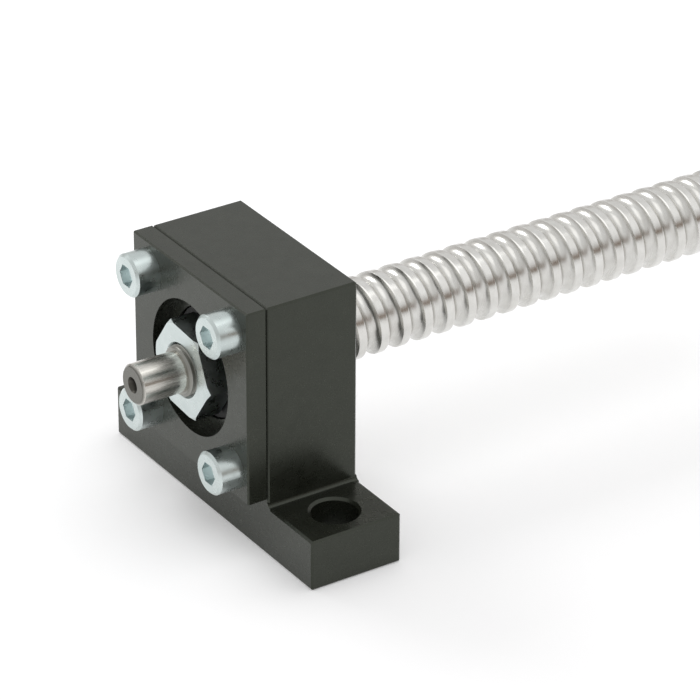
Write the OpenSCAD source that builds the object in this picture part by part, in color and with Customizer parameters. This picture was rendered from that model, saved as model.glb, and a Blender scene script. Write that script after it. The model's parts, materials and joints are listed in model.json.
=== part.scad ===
// Fixed-side end support for a ball screw: a flanged bearing block with a bolted cover plate,
// two angular-contact bearings, seals and collars, a lock nut, and the screw that it carries.
// X runs across the base, +Y from the drive end along the screw, +Z up from the mounting face.

/* [Housing] */
// Width of the base over both feet
base_w = 70; // [66:0.5:85]
// Width of the upright body
body_w = 40; // [39:0.5:43]
// Depth of the block along the screw
block_d = 19.6; // [19.5:0.1:25]
// Thickness of each foot
foot_h = 10.4; // [8:0.1:11.5]
// Height of the screw's axis above the mounting face
axis_h = 32; // [31:0.1:45]
// Edge break on the block
block_chamfer = 0.4; // [0.2:0.1:0.8]
// Radius of the inner corner between foot and body
foot_fillet = 0.8; // [0.5:0.1:1.5]
// Diameter of each foot hole
foot_hole_d = 9; // [6:0.1:10]
// Chamfer at the top mouth of each foot hole
foot_hole_chamfer = 0.5; // [0.2:0.1:0.7]

/* [Cover plate] */
// Thickness of the cover plate
cover_t = 4.3; // [4:0.1:6]
// Edge break on the cover plate
cover_chamfer = 0.3; // [0.1:0.1:0.5]
// Diameter of the open recess round the lock nut
recess_d = 26.7; // [24:0.1:27.5]
// Depth of that recess
recess_deep = 3.7; // [3:0.1:3.8]
// Length of the spigot that clamps the outer rings
spigot_l = 1.5; // [1.2:0.1:1.9]

/* [Cover screws] */
// Distance between cover screws, both ways
cover_pitch = 28.5; // [28:0.1:30]
// Thread diameter of the cover screws
screw_d = 5; // [4:0.5:5]
// Length of a cover screw under its head
screw_l = 16; // [10:1:18]
// Clearance hole for a cover screw
cover_hole_d = 5.5; // [5.4:0.1:6]

/* [Bearings] */
// Bore of the bearings, and diameter of the screw's seat and its nut thread
seat_d = 10; // [9.5:0.1:10.5]
// Outside diameter of the bearings
bearing_od = 26; // [25:0.5:27]
// Width of one bearing
bearing_w = 8; // [7.5:0.1:8.2]
// Diameter of the bearing balls
ball_d = 4.762; // [4.4:0.001:4.9]
// Number of balls in one bearing
ball_count = 9; // [7:1:9]

/* [Collars and seals] */
// Outside diameter of both collars
collar_d = 15; // [14.5:0.1:16]
// Outside diameter of both seals
seal_d = 22; // [20:0.5:23]
// Width of each seal
seal_w = 1.5; // [1.2:0.1:1.9]
// Length of the rear collar that stands out behind the housing
collar_out = 2; // [1:0.5:5]

/* [Lock nut] */
// Width of the lock nut across its flats
nut_af = 17; // [16:0.1:18]
// Length of the lock nut
nut_l = 5.6; // [5:0.1:6.5]
// Width of the chamfer on the lock nut's corners
nut_chamfer = 0.7; // [0.3:0.1:1.2]
// Angle at which the lock nut stands on the shaft
nut_turn = 5; // [-30:1:30]
// Thread diameter of the nut's two locking screws
grub_d = 3; // [2:0.5:3]

/* [Ball screw] */
// Outside diameter of the ball screw
screw_od = 15.6; // [14.5:0.1:16.5]
// Lead of the ball screw
lead = 5; // [4:0.5:6]
// Radius of the raceway groove
groove_r = 1.66; // [1.4:0.01:1.8]
// Height of the balls' track centre above the screw's land
track_out = 0.35; // [0.2:0.05:0.6]
// Number of turns of groove
turns = 20; // [8:1:23]
// Diameter of the drive journal
journal_d = 8; // [6:0.5:9]
// Length of the drive journal in front of its thread
journal_l = 9.5; // [8:0.5:25]
// Length of thread that stands in front of the lock nut
thread_out = 1; // [0.5:0.1:3]
// Chamfer on the journal's end
journal_chamfer = 0.5; // [0.2:0.1:1]

/* [Hidden] */
$fn = 96;
cut = 1;                    // how far a cutter runs past the face that it opens

// Clearances
seat_gap = 0.01;            // ring in housing, ring or collar on shaft, screw in its thread
seal_gap = 0.05;            // seal lip to its collar
ball_gap = 0.05;            // ball to raceway
pocket_gap = 0.15;          // ball to cage pocket
cover_gap = 0.1;            // spigot in the housing bore

// Stations along the screw
front_face = -block_d / 2;
rear_face = block_d / 2;
cover_face = front_face - cover_t;
recess_floor = cover_face + recess_deep;
spigot_end = front_face + spigot_l;
front_bearing = spigot_end;
rear_bearing = front_bearing + bearing_w;
bearing_end = rear_bearing + bearing_w;
nut_face = recess_floor - nut_l;
rear_collar_l = rear_face - bearing_end + collar_out;
shoulder = bearing_end + rear_collar_l;
screw_l_thread = turns * lead;
thread_front = nut_face - thread_out;
journal_front = thread_front - journal_l;

// Bearing sections
pitch_d = (seat_d + bearing_od) / 2;
race_r = ball_d / 2 + ball_gap;
shoulder_rise = 0.84;       // share of a ball's diameter that the raceway shoulders reach
relief_rise = 0.95;         // the same, on the outer ring's relieved side
cage_half = 0.3;            // half of the cage's thickness, as a share of a ball's diameter
cage_inset = 0.8;           // from the cage's side to the bearing's
inner_shoulder_d = pitch_d - shoulder_rise * ball_d;
outer_shoulder_d = pitch_d + shoulder_rise * ball_d;
relief_d = pitch_d + relief_rise * ball_d;
cage_id = pitch_d - cage_half * ball_d;
cage_od = pitch_d + cage_half * ball_d;
cage_l = bearing_w - 2 * cage_inset;
ring_edge = 0.4;            // broken edges of the outer rings
small_edge = 0.2;           // broken edges of inner rings, cages, collars and seals

// Fasteners, in the proportions of socket-head cap screws and hexagon socket set screws
head_d = 1.7 * screw_d;
head_h = screw_d;
hex_af = 0.8 * screw_d;
hex_deep = 0.5 * screw_d;
head_edge = 0.1 * screw_d;
tap_extra = 2;              // depth of a tapped hole beyond its screw's end
tap_point = screw_d / 4;    // height of the drill point below it
grub_hex_af = grub_d / 2;
grub_edge = 0.2;
pad_t = 1;                  // thickness of the brass pad under a locking screw
nut_mouth = 0.5;            // chamfer at the mouth of the lock nut's thread

// Lathe centre in the journal's end
drill_mouth = 0.4 * journal_d;
drill_pilot = 0.2 * journal_d;
drill_angle = 30;

// Raceway groove
ball_track_r = screw_od / 2 + track_out;
groove_half = sqrt(pow(groove_r, 2) - pow(track_out, 2));
groove_arc = asin(groove_half / groove_r);
groove_steps = 8;           // facets across the groove's arc
helix_sides = 24;           // facets round the screw
end_chamfer = 1;

// Places its children on the screw's axis at station y, with their +Z along +Y.
module on_axis(y) {
    translate([0, y, axis_h]) rotate([-90, 0, 0]) children();
}

// Block centred on X and Y with every edge broken.
module chamfered_block(size, edge) {
    intersection() {
        translate([0, size.y / 2, 0]) rotate([90, 0, 0])
            linear_extrude(size.y) chamfered_rect([size.x, size.z], edge);
        translate([size.x / 2, 0, 0]) rotate([90, 0, -90])
            linear_extrude(size.x) chamfered_rect([size.y, size.z], edge);
        linear_extrude(size.z) translate([0, -size.y / 2])
            chamfered_rect([size.x, size.y], edge);
    }
}

// Rectangle with broken corners, centred on X and standing on Y = 0.
module chamfered_rect(size, edge) {
    half = size.x / 2;
    polygon([
        [-half + edge, 0], [half - edge, 0], [half, edge], [half, size.y - edge],
        [half - edge, size.y], [-half + edge, size.y], [-half, size.y - edge], [-half, edge]
    ]);
}

// Disc from station 0 to l with both rims broken.
module chamfered_disc(d, l, edge) {
    rotate_extrude()
        polygon([
            [0, 0], [d / 2 - edge, 0], [d / 2, edge], [d / 2, l - edge], [d / 2 - edge, l], [0, l]
        ]);
}

// Plain ring from station 0 to l.
module ring(od, id, l, edge) {
    difference() {
        chamfered_disc(od, l, edge);
        translate([0, 0, -cut]) cylinder(d = id, h = l + 2 * cut);
    }
}

// Puts its children at the four cover screws, seen along the axis.
module at_cover_screws() {
    for (x = [-1, 1], z = [-1, 1])
        translate([x * cover_pitch / 2, z * cover_pitch / 2, 0]) children();
}

// Web that rounds the inner corner between a foot and the body.
module corner_fillet() {
    translate([body_w / 2, block_d / 2, foot_h]) rotate([90, 0, 0])
        linear_extrude(block_d) difference() {
            translate([-foot_fillet, -foot_fillet]) square(2 * foot_fillet);
            translate([foot_fillet, foot_fillet]) circle(r = foot_fillet);
        }
}

module housing() {
    body_h = axis_h + body_w / 2;
    foot_centre = (base_w + body_w) / 4;
    color("#34342f") difference() {
        union() {
            chamfered_block([body_w, block_d, body_h], block_chamfer);
            chamfered_block([base_w, block_d, foot_h], block_chamfer);
            for (side = [0, 1]) mirror([side, 0, 0]) corner_fillet();
        }
        on_axis(front_face - cut)
            cylinder(d = bearing_od + 2 * seat_gap, h = bearing_end - front_face + cut);
        on_axis(bearing_end - cut)
            cylinder(d = seal_d + 2 * seat_gap, h = rear_face - bearing_end + 2 * cut);
        on_axis(front_face) at_cover_screws() tapped_hole();
        for (x = [-1, 1]) translate([x * foot_centre, 0, 0]) foot_hole();
    }
}

// Through hole for a mounting screw, chamfered at the foot's top.
module foot_hole() {
    mouth = foot_hole_chamfer + cut;
    translate([0, 0, -cut]) cylinder(d = foot_hole_d, h = foot_h + 2 * cut);
    translate([0, 0, foot_h - foot_hole_chamfer])
        cylinder(d1 = foot_hole_d, d2 = foot_hole_d + 2 * mouth, h = mouth);
}

// Blind hole for a cover screw, open at station 0.
module tapped_hole() {
    depth = screw_l - cover_t + tap_extra;
    translate([0, 0, -cut]) cylinder(d = screw_d + 2 * seat_gap, h = depth + cut);
    translate([0, 0, depth]) cylinder(d1 = screw_d + 2 * seat_gap, d2 = 0, h = tap_point);
}

module cover_plate() {
    color("#3a3b38") difference() {
        union() {
            translate([0, cover_face + cover_t / 2, axis_h - body_w / 2])
                chamfered_block([body_w, cover_t, body_w], cover_chamfer);
            on_axis(front_face) cylinder(d = bearing_od - 2 * cover_gap, h = spigot_l);
        }
        on_axis(cover_face - cut) cylinder(d = recess_d, h = recess_deep + cut);
        on_axis(cover_face) cylinder(d = seal_d + 2 * seat_gap, h = cover_t + spigot_l + cut);
        on_axis(cover_face - cut) at_cover_screws()
            cylinder(d = cover_hole_d, h = cover_t + 2 * cut);
    }
}

// Socket-head cap screw with its head's seat at station 0 and its head towards -Z.
module cap_screw() {
    difference() {
        union() {
            translate([0, 0, -head_h]) rotate_extrude() polygon([
                [0, 0], [head_d / 2 - head_edge, 0], [head_d / 2, head_edge],
                [head_d / 2, head_h], [0, head_h]
            ]);
            rotate_extrude() polygon([
                [0, -cut], [screw_d / 2, -cut], [screw_d / 2, screw_l - head_edge],
                [screw_d / 2 - head_edge, screw_l], [0, screw_l]
            ]);
        }
        translate([0, 0, -head_h - cut]) cylinder(d = hex_af / cos(30), h = hex_deep + cut, $fn = 6);
    }
}

module cover_screws() {
    color("#dfe6e6") on_axis(cover_face) at_cover_screws() cap_screw();
}

// Section of an outer ring whose high shoulder lies at station 0.
module outer_ring() {
    difference() {
        chamfered_disc(bearing_od, bearing_w, ring_edge);
        translate([0, 0, -cut]) cylinder(d = outer_shoulder_d, h = bearing_w + 2 * cut);
        translate([0, 0, bearing_w / 2]) cylinder(d = relief_d, h = bearing_w);
        raceway();
    }
}

// Section of an inner ring, from station 0.
module inner_ring() {
    difference() {
        ring(inner_shoulder_d, seat_d + 2 * seat_gap, bearing_w, small_edge);
        raceway();
    }
}

// The torus that a ball's track sweeps, in the middle of one bearing.
module raceway() {
    translate([0, 0, bearing_w / 2]) rotate_extrude()
        translate([pitch_d / 2, 0]) circle(r = race_r);
}

module front_outer_ring() {
    color("#b9bcbe") on_axis(front_bearing) outer_ring();
}

module rear_outer_ring() {
    color("#b9bcbe") on_axis(bearing_end) mirror([0, 0, 1]) outer_ring();
}

module front_inner_ring() {
    color("#c4c7c9") on_axis(front_bearing) inner_ring();
}

module rear_inner_ring() {
    color("#c4c7c9") on_axis(rear_bearing) inner_ring();
}

// Puts its children at each ball of one bearing.
module at_balls() {
    for (i = [0 : ball_count - 1])
        rotate([0, 0, i * 360 / ball_count]) translate([pitch_d / 2, 0, bearing_w / 2]) children();
}

module balls() {
    at_balls() sphere(d = ball_d);
}

// One-piece cage with a radial pocket for each ball.
module cage() {
    difference() {
        translate([0, 0, cage_inset]) ring(cage_od, cage_id, cage_l, small_edge);
        at_balls() rotate([0, 90, 0]) cylinder(d = ball_d + 2 * pocket_gap, h = ball_d, center = true);
    }
}

module front_balls() {
    color("#d8dadb") on_axis(front_bearing) balls();
}

module rear_balls() {
    color("#d8dadb") on_axis(rear_bearing) balls();
}

module front_cage() {
    color("#c9b98a") on_axis(front_bearing) cage();
}

module rear_cage() {
    color("#c9b98a") on_axis(rear_bearing) cage();
}

module seal() {
    ring(seal_d, collar_d + 2 * seal_gap, seal_w, small_edge);
}

module front_seal() {
    color("#161615") on_axis(spigot_end - seal_w - seal_gap) seal();
}

module rear_seal() {
    color("#161615") on_axis(rear_face - seal_w - seal_gap) seal();
}

module front_collar() {
    color("#8e9193") on_axis(recess_floor)
        ring(collar_d, seat_d + 2 * seat_gap, front_bearing - recess_floor, small_edge);
}

module rear_collar() {
    color("#8e9193") on_axis(bearing_end)
        ring(collar_d, seat_d + 2 * seat_gap, rear_collar_l, small_edge);
}

// Puts its children at the nut's two locking screws, with +Z outwards.
module at_grub_screws() {
    on_axis(nut_face + nut_l / 2)
        for (turn = [90, 210]) rotate([0, 0, turn + nut_turn]) rotate([0, 90, 0]) children();
}

module lock_nut() {
    corner_r = nut_af / 2 / cos(30);
    color("#e3e9e8") difference() {
        on_axis(nut_face) intersection() {
            rotate([0, 0, nut_turn]) cylinder(r = corner_r, h = nut_l, $fn = 6);
            rotate_extrude() polygon([
                [0, 0], [corner_r - nut_chamfer, 0], [corner_r, nut_chamfer * tan(30)],
                [corner_r, nut_l], [0, nut_l]
            ]);
        }
        on_axis(nut_face - cut) cylinder(d = seat_d + 2 * seat_gap, h = nut_l + 2 * cut);
        on_axis(nut_face) rotate_extrude() polygon([
            [0, -cut], [seat_d / 2 + nut_mouth + cut, -cut], [seat_d / 2, nut_mouth], [0, nut_mouth]
        ]);
        at_grub_screws() cylinder(d = grub_d + 2 * seat_gap, h = corner_r);
    }
}

module nut_grub_screws() {
    seat = seat_d / 2 + pad_t + 2 * seat_gap;
    flush = nut_af / 2 - grub_edge;
    color("#2c2c2c") at_grub_screws() difference() {
        translate([0, 0, seat]) chamfered_disc(grub_d, flush - seat, grub_edge);
        translate([0, 0, flush - grub_hex_af])
            cylinder(d = grub_hex_af / cos(30), h = grub_hex_af + cut, $fn = 6);
    }
}

// Brass pads that the locking screws press on the thread.
module nut_pads() {
    color("#c9a24a") at_grub_screws() translate([0, 0, seat_d / 2 + seat_gap]) difference() {
        cylinder(d = grub_d - grub_edge, h = pad_t);
        translate([0, 0, -seat_d / 2]) rotate([0, 90, 0])
            cylinder(d = seat_d, h = 2 * grub_d, center = true);
    }
}

// Radius of the ball screw at height z and angle turn: the land, or the groove's arc.
function groove_radius(z, turn) =
    let (phase = z / lead - turn / 360,
         off = abs(phase - round(phase)) * lead)
    off < groove_half ? ball_track_r - sqrt(pow(groove_r, 2) - pow(off, 2)) : screw_od / 2;

// The same radius, cut down by the chamfer at the far end.
function thread_radius(z, turn) =
    min(groove_radius(z, turn), screw_od / 2 - end_chamfer + screw_l_thread - z);

// Heights of one lead's rows, from the middle of the groove: its arc, then the land.
row_offsets = [for (k = [0 : groove_steps]) groove_r * sin(groove_arc * (2 * k / groove_steps - 1))];

// Ball screw thread from z = 0 upwards. Each column of points follows the helix, so that the
// groove's edges run along rows of the mesh, and rows past either end close onto its flat.
module ball_thread() {
    per_turn = len(row_offsets);
    rows = per_turn * (turns + 2);
    function row_z(col, row) =
        (floor(row / per_turn) - 1 + col / helix_sides) * lead + row_offsets[row % per_turn];
    first = [for (col = [0 : helix_sides]) max([for (row = [0 : 2 * per_turn])
        row_z(col, row) <= 0 ? row : 0])];
    last = [for (col = [0 : helix_sides]) min([for (row = [rows - 3 * per_turn : rows - 1])
        row_z(col, row) >= screw_l_thread ? row : rows])];
    function spot(col, row) =
        col == helix_sides
            ? spot(0, row + per_turn)
            : col * rows + max(first[col], min(last[col], row));
    points = [for (col = [0 : helix_sides - 1], row = [0 : rows - 1])
        let (turn = col * 360 / helix_sides,
             z = max(0, min(screw_l_thread, row_z(col, row))),
             r = thread_radius(z, turn))
        [r * cos(turn), r * sin(turn), z]];
    hub = len(points);
    walls = [for (col = [0 : helix_sides - 1], row = [0 : rows - 2])
        let (a = spot(col, row), b = spot(col + 1, row),
             c = spot(col + 1, row + 1), d = spot(col, row + 1))
        each [[a, c, b], [a, d, c]]];
    ends = [for (col = [0 : helix_sides - 1]) each [
        [spot(col, 0), spot(col + 1, 0), hub],
        [spot(col + 1, rows), spot(col, rows), hub + 1]
    ]];
    whole = [for (f = concat(walls, ends)) if (f[0] != f[1] && f[1] != f[2] && f[2] != f[0]) f];
    polyhedron(concat(points, [[0, 0, 0], [0, 0, screw_l_thread]]), whole);
}

module ball_screw() {
    color("#c8c8c4") {
        on_axis(shoulder) ball_thread();
        on_axis(journal_front) difference() {
            rotate_extrude() polygon([
                [0, 0], [journal_d / 2 - journal_chamfer, 0], [journal_d / 2, journal_chamfer],
                [journal_d / 2, journal_l], [seat_d / 2 - journal_chamfer, journal_l],
                [seat_d / 2, journal_l + journal_chamfer], [seat_d / 2, shoulder - journal_front],
                [0, shoulder - journal_front]
            ]);
            centre_drill();
        }
    }
}

// Lathe centre in the journal's end: a cone, then a pilot hole with a drill point.
module centre_drill() {
    slope = tan(drill_angle);
    cone = (drill_mouth - drill_pilot) / 2 / slope;
    rotate_extrude() polygon([
        [0, -cut], [drill_mouth / 2 + cut * slope, -cut], [drill_pilot / 2, cone],
        [drill_pilot / 2, cone + drill_pilot], [0, cone + drill_pilot * (1 + slope / 2)]
    ]);
}

housing();
cover_plate();
cover_screws();
front_outer_ring();
rear_outer_ring();
front_seal();
rear_seal();
ball_screw();
front_inner_ring();
rear_inner_ring();
front_collar();
rear_collar();
lock_nut();
nut_grub_screws();
nut_pads();
front_balls();
front_cage();
rear_balls();
rear_cage();
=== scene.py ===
"""Looks of the ball screw end support: finishes, the finely cut screw, floor, light and camera."""
import json
import math

import bmesh
import bpy
from mathutils import Matrix, Vector


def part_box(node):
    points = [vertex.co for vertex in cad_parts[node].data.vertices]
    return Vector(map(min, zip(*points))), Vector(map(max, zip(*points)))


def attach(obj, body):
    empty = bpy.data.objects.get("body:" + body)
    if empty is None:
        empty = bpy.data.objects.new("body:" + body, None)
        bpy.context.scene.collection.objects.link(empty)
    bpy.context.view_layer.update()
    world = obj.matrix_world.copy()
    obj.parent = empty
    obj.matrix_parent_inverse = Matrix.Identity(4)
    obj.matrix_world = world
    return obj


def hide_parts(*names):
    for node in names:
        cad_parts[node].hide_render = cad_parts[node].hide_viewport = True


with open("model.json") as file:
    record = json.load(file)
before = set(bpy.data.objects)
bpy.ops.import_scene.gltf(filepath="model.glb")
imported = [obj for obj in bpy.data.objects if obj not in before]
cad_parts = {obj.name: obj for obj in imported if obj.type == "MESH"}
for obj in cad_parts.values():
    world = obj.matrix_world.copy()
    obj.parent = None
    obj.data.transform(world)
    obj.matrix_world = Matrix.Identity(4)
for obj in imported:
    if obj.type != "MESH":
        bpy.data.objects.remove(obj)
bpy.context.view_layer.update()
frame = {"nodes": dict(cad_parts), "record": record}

MM = 0.001

# ---------------------------------------------------------------- places, read from the frame

screw_low, screw_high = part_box("ball_screw")
nut_low, nut_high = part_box("lock_nut")
heads_low, heads_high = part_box("cover_screws")

AXIS_H = (nut_low.z + nut_high.z) / 2
BLOCK_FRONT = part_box("housing")[0].y
COVER_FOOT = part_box("cover_plate")[0].z
HEADS_FRONT = heads_low.y
JOURNAL_FRONT = screw_low.y
NUT_FRONT = nut_low.y
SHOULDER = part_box("rear_collar")[1].y
SCREW_END = screw_high.y
SCREW_R = (screw_high.x - screw_low.x) / 2

# ---------------------------------------------------------------- sizes that part.scad sets too

HEAD_R = 4.25 * MM                          # head of a cover screw
HEAD_OFFSET = heads_high.x - HEAD_R         # its distance in X and in Z from the ball screw
SEAT_R = 5 * MM                             # seat of the bearings, and the nut's thread
END_CHAMFER = 1 * MM                        # at the far end
LEAD = 5 * MM
GROOVE_R = 1.66 * MM
TRACK_OUT = 0.35 * MM                       # how far the groove's centre lies outside the land
TRACK_R = SCREW_R + TRACK_OUT
GROOVE_HALF = math.sqrt(GROOVE_R ** 2 - TRACK_OUT ** 2)
NUT_PITCH = 1 * MM
THREAD_OUT = 1 * MM                         # nut thread that stands in front of the nut
THREAD_FRONT = NUT_FRONT - THREAD_OUT
JOURNAL_R = 4 * MM
CHAMFER = 0.5 * MM                          # at the front of the journal and of the nut thread
DRILL_R = 1.6 * MM                          # mouth of the lathe centre in the journal's end
DRILL_ANGLE = math.radians(30)
PILOT_R = 0.8 * MM
PILOT_DEPTH = 2 * PILOT_R
POINT_DEPTH = 2.58 * PILOT_R                # of the pilot hole with its drill point

# ---------------------------------------------------------------- detail that only the looks have

SIDES = 96
GROOVE_ROWS = 28                            # rows of points to a lead
THREAD_ROWS = 12                            # and to a pitch of the nut thread
EDGE_WIDTH = 0.12 * MM                      # softening on each side of the groove's edge
EDGE_DROP = 0.02 * MM
THREAD_DEPTH = 0.55 * MM
THREAD_SLOPE = 2.6                          # rise of a flank over a pitch, in depths
THREAD_ROOT = 0.1                           # what the flat root takes off that rise
THREAD_IN = 5 * MM                          # nut thread that the nut hides
THREAD_END = NUT_FRONT + THREAD_IN
SHOULDER_R = SCREW_R - 0.3 * MM             # disc that closes the shoulder
SAME_POINT = 0.001 * MM                     # points this near each other are joined


# ---------------------------------------------------------------- mesh helpers

def add_mesh(name, verts, faces, body, sharp_deg):
    """A shown mesh that rides on a body, smooth apart from edges sharper than sharp_deg."""
    mesh = bpy.data.meshes.new(name)
    mesh.from_pydata(verts, [], faces)
    form = bmesh.new()
    form.from_mesh(mesh)
    bmesh.ops.remove_doubles(form, verts=form.verts, dist=SAME_POINT)
    form.to_mesh(mesh)
    form.free()
    mesh.shade_smooth()
    mesh.set_sharp_from_angle(angle=math.radians(sharp_deg))
    piece = bpy.data.objects.new(name, mesh)
    bpy.context.scene.collection.objects.link(piece)
    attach(piece, body)
    return piece


def on_axis(radius, turn, y):
    """Point at a radius and angle round the screw's axis."""
    return (radius * math.cos(turn), y, AXIS_H + radius * math.sin(turn))


def lathe(profile):
    """Vertices and faces of a turned form. profile: points (radius, y), radius 0 being the axis."""
    rings = [
        [on_axis(radius, 2 * math.pi * i / SIDES, y) for i in range(SIDES if radius else 1)]
        for radius, y in profile]
    faces, low = [], 0
    for ring, following in zip(rings, rings[1:]):
        high = low + len(ring)
        for i in range(SIDES):
            j = i + 1
            corners = [low + i % len(ring), low + j % len(ring),
                       high + j % len(following), high + i % len(following)]
            faces.append(list(dict.fromkeys(corners)))
        low = high
    return [point for ring in rings for point in ring], faces


def screw_surface(radius_at, y_start, y_end, lead, rows_per_lead):
    """Vertices and faces of a helical surface whose rows of points follow the helix.

    radius_at(phase, y) gives the radius, phase being the share of a lead from the groove's middle.
    Rows past either end are drawn back onto it, where add_mesh() joins them.
    """
    rows = (math.ceil((y_end - y_start) / lead) + 2) * rows_per_lead
    verts, faces = [], []
    for i in range(SIDES + 1):
        turn = 2 * math.pi * i / SIDES
        for k in range(rows + 1):
            y = y_start + (k / rows_per_lead - 1 + i / SIDES) * lead
            y = min(max(y, y_start), y_end)
            phase = (y - y_start) / lead - i / SIDES
            verts.append(on_axis(radius_at(phase - round(phase), y), -turn, y))
    for i in range(SIDES):
        for k in range(rows):
            a, b = i * (rows + 1) + k, (i + 1) * (rows + 1) + k
            faces.append([a, a + 1, b + 1, b])
    return verts, faces


def put_on(piece, material):
    """Gives a piece this one material all over."""
    piece.data.materials.clear()
    piece.data.materials.append(material)
    piece.data.polygons.foreach_set("material_index", [0] * len(piece.data.polygons))


# ---------------------------------------------------------------- node helpers

def new_material(name):
    """A node material with its node tree and its Principled shader."""
    material = bpy.data.materials.new(name)
    material.use_nodes = True
    tree = material.node_tree
    return material, tree, tree.nodes["Principled BSDF"]


def add_node(tree, kind, **settings):
    """A new node with its settings."""
    node = tree.nodes.new("ShaderNode" + kind)
    for name, value in settings.items():
        setattr(node, name, value)
    return node


def feed(tree, socket, value):
    """Gives a socket the output of another node, or a constant."""
    if isinstance(value, bpy.types.NodeSocket):
        tree.links.new(value, socket)
    else:
        socket.default_value = value


def maths(tree, operation, *values):
    """Result of a Math node. Each value is an output or a constant."""
    node = add_node(tree, "Math", operation=operation)
    for socket, value in zip(node.inputs, values):
        feed(tree, socket, value)
    return node.outputs["Value"]


def vector_maths(tree, operation, *values):
    """Result of a Vector Math node: a number for a length, distance or dot product."""
    node = add_node(tree, "VectorMath", operation=operation)
    for socket, value in zip(node.inputs, values):
        feed(tree, socket, value)
    gives_number = operation in ("LENGTH", "DISTANCE", "DOT_PRODUCT")
    return node.outputs["Value" if gives_number else "Vector"]


def place(tree):
    """Place of the surface in the frame, in metres: every piece has the frame's origin."""
    return add_node(tree, "TexCoord").outputs["Object"]


def part_of(tree, vector, axis):
    """One of the three parts of a vector, by its letter."""
    parts = add_node(tree, "SeparateXYZ")
    tree.links.new(vector, parts.inputs["Vector"])
    return parts.outputs[axis]


def from_axis(tree):
    """Vector in X and Z from the screw's axis to the surface."""
    lowered = vector_maths(tree, "SUBTRACT", place(tree), (0, 0, AXIS_H))
    return vector_maths(tree, "MULTIPLY", lowered, (1, 0, 1))


def stretched(tree, stretch=(1, 1, 1)):
    """Place of the surface in millimetres, stretched along X, Y and Z."""
    scaled = add_node(tree, "Mapping")
    scaled.inputs["Scale"].default_value = [share / MM for share in stretch]
    tree.links.new(place(tree), scaled.inputs["Vector"])
    return scaled.outputs["Vector"]


def noise(tree, vector, scale, detail=4.0, rough=0.55):
    """Noise of about one feature in 1 / scale millimetres."""
    texture = add_node(tree, "TexNoise")
    texture.inputs["Scale"].default_value = scale
    texture.inputs["Detail"].default_value = detail
    texture.inputs["Roughness"].default_value = rough
    tree.links.new(vector, texture.inputs["Vector"])
    return texture.outputs["Fac"]


def spread(tree, value, low, high, start=0.3, end=0.7):
    """Maps a value from start to end onto low to high. Noise is nearly all from 0.3 to 0.7."""
    ramp = add_node(tree, "MapRange")
    ramp.inputs["From Min"].default_value = start
    ramp.inputs["From Max"].default_value = end
    ramp.inputs["To Min"].default_value = low
    ramp.inputs["To Max"].default_value = high
    tree.links.new(value, ramp.inputs["Value"])
    return ramp.outputs["Result"]


def blend_colours(tree, factor, first, second):
    """Colour between two by a factor, each an output or three numbers."""
    mix = add_node(tree, "Mix", data_type="RGBA")
    for name, colour in (("A", first), ("B", second)):
        feed(tree, mix.inputs[name], (*colour, 1) if isinstance(colour, tuple) else colour)
    tree.links.new(factor, mix.inputs["Factor"])
    return mix.outputs["Result"]


def bump(tree, shader, height, strength, depth):
    """Raises the shader's surface by a height map, in metres of depth."""
    node = add_node(tree, "Bump")
    node.inputs["Strength"].default_value = strength
    node.inputs["Distance"].default_value = depth
    tree.links.new(height, node.inputs["Height"])
    tree.links.new(node.outputs["Normal"], shader.inputs["Normal"])


# ---------------------------------------------------------------- materials

def surface_material(name, dark, light, metal, rough, grain, depth, stretch=(1, 1, 1),
                     sheen_tint=(1, 1, 1), seam=False, sockets=None):
    """A finish with mottled colour, uneven gloss and a fine grain.

    rough holds the least and most roughness, grain and depth the grain's features to a millimetre
    and its depth in millimetres. seam paints shade into the cover's seam by dropping its specular
    level, and sockets is a lighter colour painted into the screw heads' sockets as painted light.
    """
    material, tree, shader = new_material(name)
    vector = stretched(tree, stretch)
    mottle = spread(tree, noise(tree, vector, scale=0.25), 0, 1)
    colour = blend_colours(tree, mottle, dark, light)
    # Painted light: a lighter colour inside the screw heads' sockets.
    if sockets:
        colour = blend_colours(tree, painted_socket_light(tree), colour, sockets)
    tree.links.new(colour, shader.inputs["Base Color"])
    gloss = spread(tree, noise(tree, vector, scale=0.6), *rough)
    tree.links.new(gloss, shader.inputs["Roughness"])
    shader.inputs["Metallic"].default_value = metal
    shader.inputs["Specular Tint"].default_value = (*sheen_tint, 1)
    # Painted shade: the specular level drops in the cover's seam, so the seam reads dark.
    if seam:
        tree.links.new(painted_seam_shade(tree), shader.inputs["Specular IOR Level"])
    height = noise(tree, vector, grain, detail=3.0, rough=0.5)
    bump(tree, shader, height, strength=0.35, depth=depth * MM)
    return material


def painted_seam_shade(tree):
    """Painted shade: specular level that drops in the seam between the cover and the housing.

    It goes by the distance from the block's front, and below the cover 1 mm is added to that.
    """
    in_seam, elsewhere = 0.15, 0.54
    across = maths(tree, "SUBTRACT", part_of(tree, place(tree), "Y"), BLOCK_FRONT)
    under_cover = spread(
        tree, part_of(tree, place(tree), "Z"), 1 * MM, 0,
        start=COVER_FOOT - 0.2 * MM, end=COVER_FOOT)
    away = maths(tree, "ADD", maths(tree, "ABSOLUTE", across), under_cover)
    return spread(tree, away, in_seam, elsewhere, start=0.1 * MM, end=0.32 * MM)


def painted_socket_light(tree):
    """1 inside the sockets of the four cover screws, where painted light goes, and 0 elsewhere."""
    one_corner = vector_maths(tree, "ABSOLUTE", from_axis(tree))
    off_middle = vector_maths(tree, "DISTANCE", one_corner, (HEAD_OFFSET, 0, HEAD_OFFSET))
    in_hexagon = spread(tree, off_middle, 1, 0, start=2.36 * MM, end=2.44 * MM)
    behind_face = spread(
        tree, part_of(tree, place(tree), "Y"), 0, 1,
        start=HEADS_FRONT + 0.02 * MM, end=HEADS_FRONT + 0.1 * MM)
    return maths(tree, "MULTIPLY", in_hexagon, behind_face)


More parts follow.
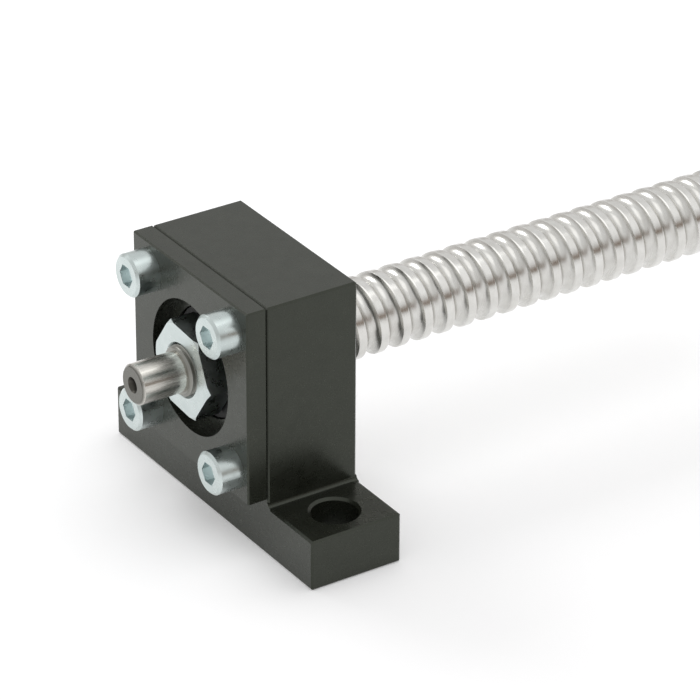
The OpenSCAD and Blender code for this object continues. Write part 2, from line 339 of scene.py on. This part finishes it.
def journal_steel():
    """Turned journal: long faint streaks, and a dark rough-turned end face."""
    material, tree, shader = new_material("journal_steel")
    streaks = stretched(tree, (2.5, 0.05, 2.5))
    dark_streak, light_streak, end_colour = (
        (0.60, 0.585, 0.54), (0.78, 0.765, 0.72), (0.16, 0.158, 0.142))
    streak = spread(tree, noise(tree, streaks, scale=1.0), 0, 1)
    turned = blend_colours(tree, streak, dark_streak, light_streak)
    on_end = spread(
        tree, part_of(tree, place(tree), "Y"), 1, 0,
        start=JOURNAL_FRONT + 0.1 * MM, end=JOURNAL_FRONT + 0.6 * MM)
    tree.links.new(blend_colours(tree, on_end, turned, end_colour), shader.inputs["Base Color"])
    gloss = spread(tree, noise(tree, streaks, scale=0.8), 0.20, 0.30)
    tree.links.new(gloss, shader.inputs["Roughness"])
    shader.inputs["Metallic"].default_value = 1.0
    height = noise(tree, stretched(tree), scale=1.5, detail=3.0)
    bump(tree, shader, height, strength=0.3, depth=0.001 * MM)
    return material


def ground_steel():
    """Ground steel: polished lands, duller groove, faint rings from grinding."""
    material, tree, shader = new_material("ground_steel")
    rings = stretched(tree, (0.15, 6, 0.15))
    radius = vector_maths(tree, "LENGTH", from_axis(tree))
    on_land = spread(tree, radius, 0, 1, start=SCREW_R - 0.4 * MM, end=SCREW_R - 0.02 * MM)
    mottle = spread(tree, noise(tree, stretched(tree), scale=0.4), 0, 1)
    groove = blend_colours(tree, mottle, (0.62, 0.61, 0.58), (0.70, 0.695, 0.67))
    land = blend_colours(tree, mottle, (0.68, 0.67, 0.64), (0.76, 0.755, 0.73))
    tree.links.new(blend_colours(tree, on_land, groove, land), shader.inputs["Base Color"])
    in_groove, polished = 0.29, 0.21
    even = spread(tree, on_land, in_groove, polished, start=0, end=1)
    uneven = spread(tree, noise(tree, rings, scale=1.0), -0.04, 0.05)
    tree.links.new(maths(tree, "ADD", even, uneven), shader.inputs["Roughness"])
    shader.inputs["Metallic"].default_value = 1.0
    height = noise(tree, rings, scale=1.0, detail=3.0)
    bump(tree, shader, height, strength=0.3, depth=0.003 * MM)
    return material


TURNED = (0.3, 4, 0.3)                      # stretch that draws the grain out round the axis
ZINC = dict(
    dark=(0.54, 0.605, 0.595), light=(0.61, 0.67, 0.66), metal=1.0, rough=(0.24, 0.36),
    grain=1.5, depth=0.001)

MATERIALS = {
    "ground_steel": ground_steel(),
    "journal_steel": journal_steel(),
    # Black steel, with painted shade in the seam between the cover and the housing.
    "black_steel": surface_material(
        "black_oxide_steel", dark=(0.009, 0.0100, 0.0070), light=(0.0145, 0.0158, 0.0118),
        metal=0.0, rough=(0.24, 0.32), grain=2.4, depth=0.003,
        sheen_tint=(0.93, 1.0, 0.85), seam=True),
    "zinc_plate": surface_material("zinc_plating", **ZINC),
    # Cover screws, with painted light: a lighter colour in their sockets.
    "zinc_screws": surface_material("zinc_plated_screws", **ZINC, sockets=(0.80, 0.87, 0.87)),
    "bearing_steel": surface_material(
        "bearing_steel", dark=(0.62, 0.63, 0.64), light=(0.72, 0.73, 0.74),
        metal=1.0, rough=(0.10, 0.18), grain=2.0, depth=0.001),
    # Near-black steel for the journal's centre hole: painted shade in the hole.
    "drilled_steel": surface_material(
        "drilled_steel", dark=(0.05, 0.048, 0.042), light=(0.09, 0.086, 0.075),
        metal=1.0, rough=(0.4, 0.5), grain=2.0, depth=0.002),
    "cut_thread": surface_material(
        "cut_thread_steel", dark=(0.21, 0.21, 0.19), light=(0.31, 0.31, 0.285),
        metal=1.0, rough=(0.3, 0.42), grain=2.0, depth=0.002, stretch=TURNED),
    "collar_steel": surface_material(
        "turned_collar_steel", dark=(0.38, 0.385, 0.38), light=(0.46, 0.465, 0.46),
        metal=1.0, rough=(0.28, 0.4), grain=2.0, depth=0.003, stretch=TURNED),
    "seal_rubber": surface_material(
        "seal_rubber", dark=(0.012, 0.012, 0.012), light=(0.02, 0.02, 0.02),
        metal=0.0, rough=(0.5, 0.65), grain=1.5, depth=0.01),
    "cage": surface_material(
        "cage_brass", dark=(0.60, 0.46, 0.22), light=(0.70, 0.55, 0.28),
        metal=1.0, rough=(0.28, 0.4), grain=2.0, depth=0.003),
    "black_screw": surface_material(
        "black_screw_steel", dark=(0.012, 0.012, 0.012), light=(0.02, 0.02, 0.02),
        metal=0.3, rough=(0.3, 0.42), grain=2.0, depth=0.003),
    "brass": surface_material(
        "turned_brass", dark=(0.66, 0.47, 0.20), light=(0.74, 0.55, 0.26),
        metal=1.0, rough=(0.25, 0.36), grain=2.0, depth=0.003),
}
OWN_FINISH = {"cover_screws": "zinc_screws"}


def dress_cad_nodes():
    """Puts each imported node's finish on it: its own, or else its slot's."""
    for part in frame["record"]["subparts"]:
        finish = OWN_FINISH.get(part["node"], part["material_slot"])
        put_on(frame["nodes"][part["node"]], MATERIALS[finish])


# ---------------------------------------------------------------- the screw, cut finely

def groove_radius(phase, y):
    """Raceway groove with softened edges, cut down by the chamfer at the far end."""
    off = abs(phase) * LEAD
    radius = TRACK_R - math.sqrt(GROOVE_R ** 2 - min(off, GROOVE_HALF) ** 2)
    nearness = 1 - min(1.0, abs(off - GROOVE_HALF) / EDGE_WIDTH)
    return min(radius - EDGE_DROP * nearness ** 2, SCREW_R - END_CHAMFER + SCREW_END - y)


def nut_thread_radius(phase, y):
    """Fine thread with flat crests, run in from a chamfer at its front."""
    flank = min(1.0, max(0.0, abs(phase) * THREAD_SLOPE - THREAD_ROOT))
    return min(SEAT_R - THREAD_DEPTH * (1 - flank), SEAT_R - CHAMFER + (y - THREAD_FRONT))


def build_screw():
    """The ball screw in seven pieces. Where two meet, one reaches a little way into the other."""
    grooved = screw_surface(groove_radius, SHOULDER, SCREW_END, LEAD, GROOVE_ROWS)
    far_end = lathe([(0, SCREW_END), (SCREW_R - END_CHAMFER, SCREW_END)])
    shoulder_back = SHOULDER + 0.2 * MM
    seat = lathe([
        (0, THREAD_END), (SEAT_R, THREAD_END), (SEAT_R, SHOULDER),
        (SHOULDER_R, SHOULDER), (SHOULDER_R, shoulder_back), (0, shoulder_back)])
    nut_thread = screw_surface(
        nut_thread_radius, THREAD_FRONT, THREAD_END, NUT_PITCH, THREAD_ROWS)
    cone_end = JOURNAL_FRONT + (DRILL_R - PILOT_R) / math.tan(DRILL_ANGLE)
    centre_hole = lathe([
        (0, cone_end + POINT_DEPTH), (PILOT_R, cone_end + PILOT_DEPTH),
        (PILOT_R, cone_end), (DRILL_R, JOURNAL_FRONT)])
    journal_back = THREAD_FRONT + 0.1 * MM
    journal = lathe([
        (DRILL_R, JOURNAL_FRONT), (JOURNAL_R - CHAMFER, JOURNAL_FRONT),
        (JOURNAL_R, JOURNAL_FRONT + CHAMFER), (JOURNAL_R, journal_back), (0, journal_back)])
    face_back = THREAD_FRONT + 0.02 * MM
    thread_face = lathe([
        (JOURNAL_R - 0.1 * MM, THREAD_FRONT), (SEAT_R - CHAMFER, THREAD_FRONT),
        (SEAT_R - CHAMFER, face_back), (0, face_back)])
    for name, form, finish, sharp_deg in (
            ("screw_grooved", grooved, "ground_steel", 40),
            ("screw_far_end", far_end, "ground_steel", 35),
            ("screw_seat", seat, "ground_steel", 35),
            ("screw_nut_thread", nut_thread, "cut_thread", 60),
            # The centre hole's near-black finish is painted shade.
            ("screw_centre_hole", centre_hole, "drilled_steel", 35),
            ("screw_journal", journal, "journal_steel", 35),
            ("screw_thread_face", thread_face, "cut_thread", 35)):
        piece = add_mesh(name, *form, "spindle", sharp_deg)
        put_on(piece, MATERIALS[finish])
        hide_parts("ball_screw")


# ---------------------------------------------------------------- stage, light and camera

def floor():
    """Pale floor that keeps the object's shadow, lifted to near white where it is seen."""
    half = 3.0
    seen_lift = 0.235
    corners = [(-half, -half, 0), (half, -half, 0), (half, half, 0), (-half, half, 0)]
    mesh = bpy.data.meshes.new("floor")
    mesh.from_pydata(corners, [], [(0, 1, 2, 3)])
    plane = bpy.data.objects.new("floor", mesh)
    bpy.context.scene.collection.objects.link(plane)
    material, tree, shader = new_material("floor_white")
    shader.inputs["Base Color"].default_value = (0.81, 0.81, 0.815, 1)
    shader.inputs["Roughness"].default_value = 0.8
    shader.inputs["Specular IOR Level"].default_value = 0.0
    path = add_node(tree, "LightPath")
    shown = path.outputs["Is Camera Ray"]
    for ray in ("Is Glossy Ray", "Is Transmission Ray"):
        shown = maths(tree, "MAXIMUM", shown, path.outputs[ray])
    lift = add_node(tree, "Emission")
    tree.links.new(spread(tree, shown, 0, seen_lift, start=0, end=1), lift.inputs["Strength"])
    total = add_node(tree, "AddShader")
    tree.links.new(shader.outputs["BSDF"], total.inputs[0])
    tree.links.new(lift.outputs["Emission"], total.inputs[1])
    tree.links.new(total.outputs["Shader"], tree.nodes["Material Output"].inputs["Surface"])
    plane.data.materials.append(material)


def light():
    """A white tent with a dark gap low on the right, and soft lamps left, above and behind."""
    world = bpy.data.worlds.new("tent")
    bpy.context.scene.world = world
    world.use_nodes = True
    tree = world.node_tree
    tent_colour, gap_colour = (1, 1, 1), (0.22, 0.15, 0.10)
    gap_side = (0.87, 0.5, 0.0)
    direction = add_node(tree, "TexCoord").outputs["Generated"]
    height = part_of(tree, direction, "Z")
    above_foot = spread(tree, height, 0, 1, start=0.02, end=0.12)
    below_top = spread(tree, height, 1, 0, start=0.2, end=0.4)
    facing = vector_maths(tree, "DOT_PRODUCT", direction, gap_side)
    gap = spread(tree, facing, 0.35, 1, start=0.2, end=0.8)
    for share in (below_top, above_foot):
        gap = maths(tree, "MULTIPLY", gap, share)
    background = tree.nodes["Background"]
    tree.links.new(
        blend_colours(tree, gap, tent_colour, gap_colour), background.inputs["Color"])
    background.inputs["Strength"].default_value = 0.82
    soft_lamp("left", location=(-0.3, -0.08, 0.3), size=0.15, watts=0.45)
    soft_lamp("above", location=(0.1, 0.1, 1.0), size=0.8, watts=1.25)
    soft_lamp("behind", location=(0.5, 0.5, 0.8), size=0.7, watts=0.3)


def soft_lamp(name, location, size, watts):
    """Square area lamp that looks at the origin, at the axis's height, and is not seen itself."""
    lamp = bpy.data.lights.new(name, "AREA")
    lamp.size = size
    lamp.energy = watts
    lamp_object = bpy.data.objects.new(name, lamp)
    bpy.context.scene.collection.objects.link(lamp_object)
    lamp_object.location = location
    lamp_object.visible_camera = False
    view = Vector((0, 0, AXIS_H)) - lamp_object.location
    lamp_object.rotation_euler = view.to_track_quat("-Z", "Y").to_euler()


def camera():
    """Long lens from the front right, above, leaned by a quarter of a degree."""
    azimuth, elevation, roll = (math.radians(angle) for angle in (56.597, 28.649, 0.274))
    distance = 747.5 * MM
    target = Vector((47.305 * MM, BLOCK_FRONT, 56.16 * MM))
    back = Vector((
        math.sin(azimuth) * math.cos(elevation),
        -math.cos(azimuth) * math.cos(elevation),
        math.sin(elevation)))
    right = (-back).cross(Vector((0, 0, 1))).normalized()
    up = right.cross(-back)
    leaned_right = right * math.cos(roll) + up * math.sin(roll)
    leaned_up = up * math.cos(roll) - right * math.sin(roll)
    turn = Matrix((leaned_right, leaned_up, back)).transposed()
    lens = bpy.data.cameras.new("camera")
    lens.sensor_width = 36
    lens.lens = 219.63
    lens.clip_start = 0.01
    view = bpy.data.objects.new("camera", lens)
    view.matrix_world = Matrix.Translation(target + back * distance) @ turn.to_4x4()
    bpy.context.scene.collection.objects.link(view)
    bpy.context.scene.camera = view


dress_cad_nodes()
build_screw()
floor()
light()
camera()
bpy.context.scene.view_settings.view_transform = "Standard"
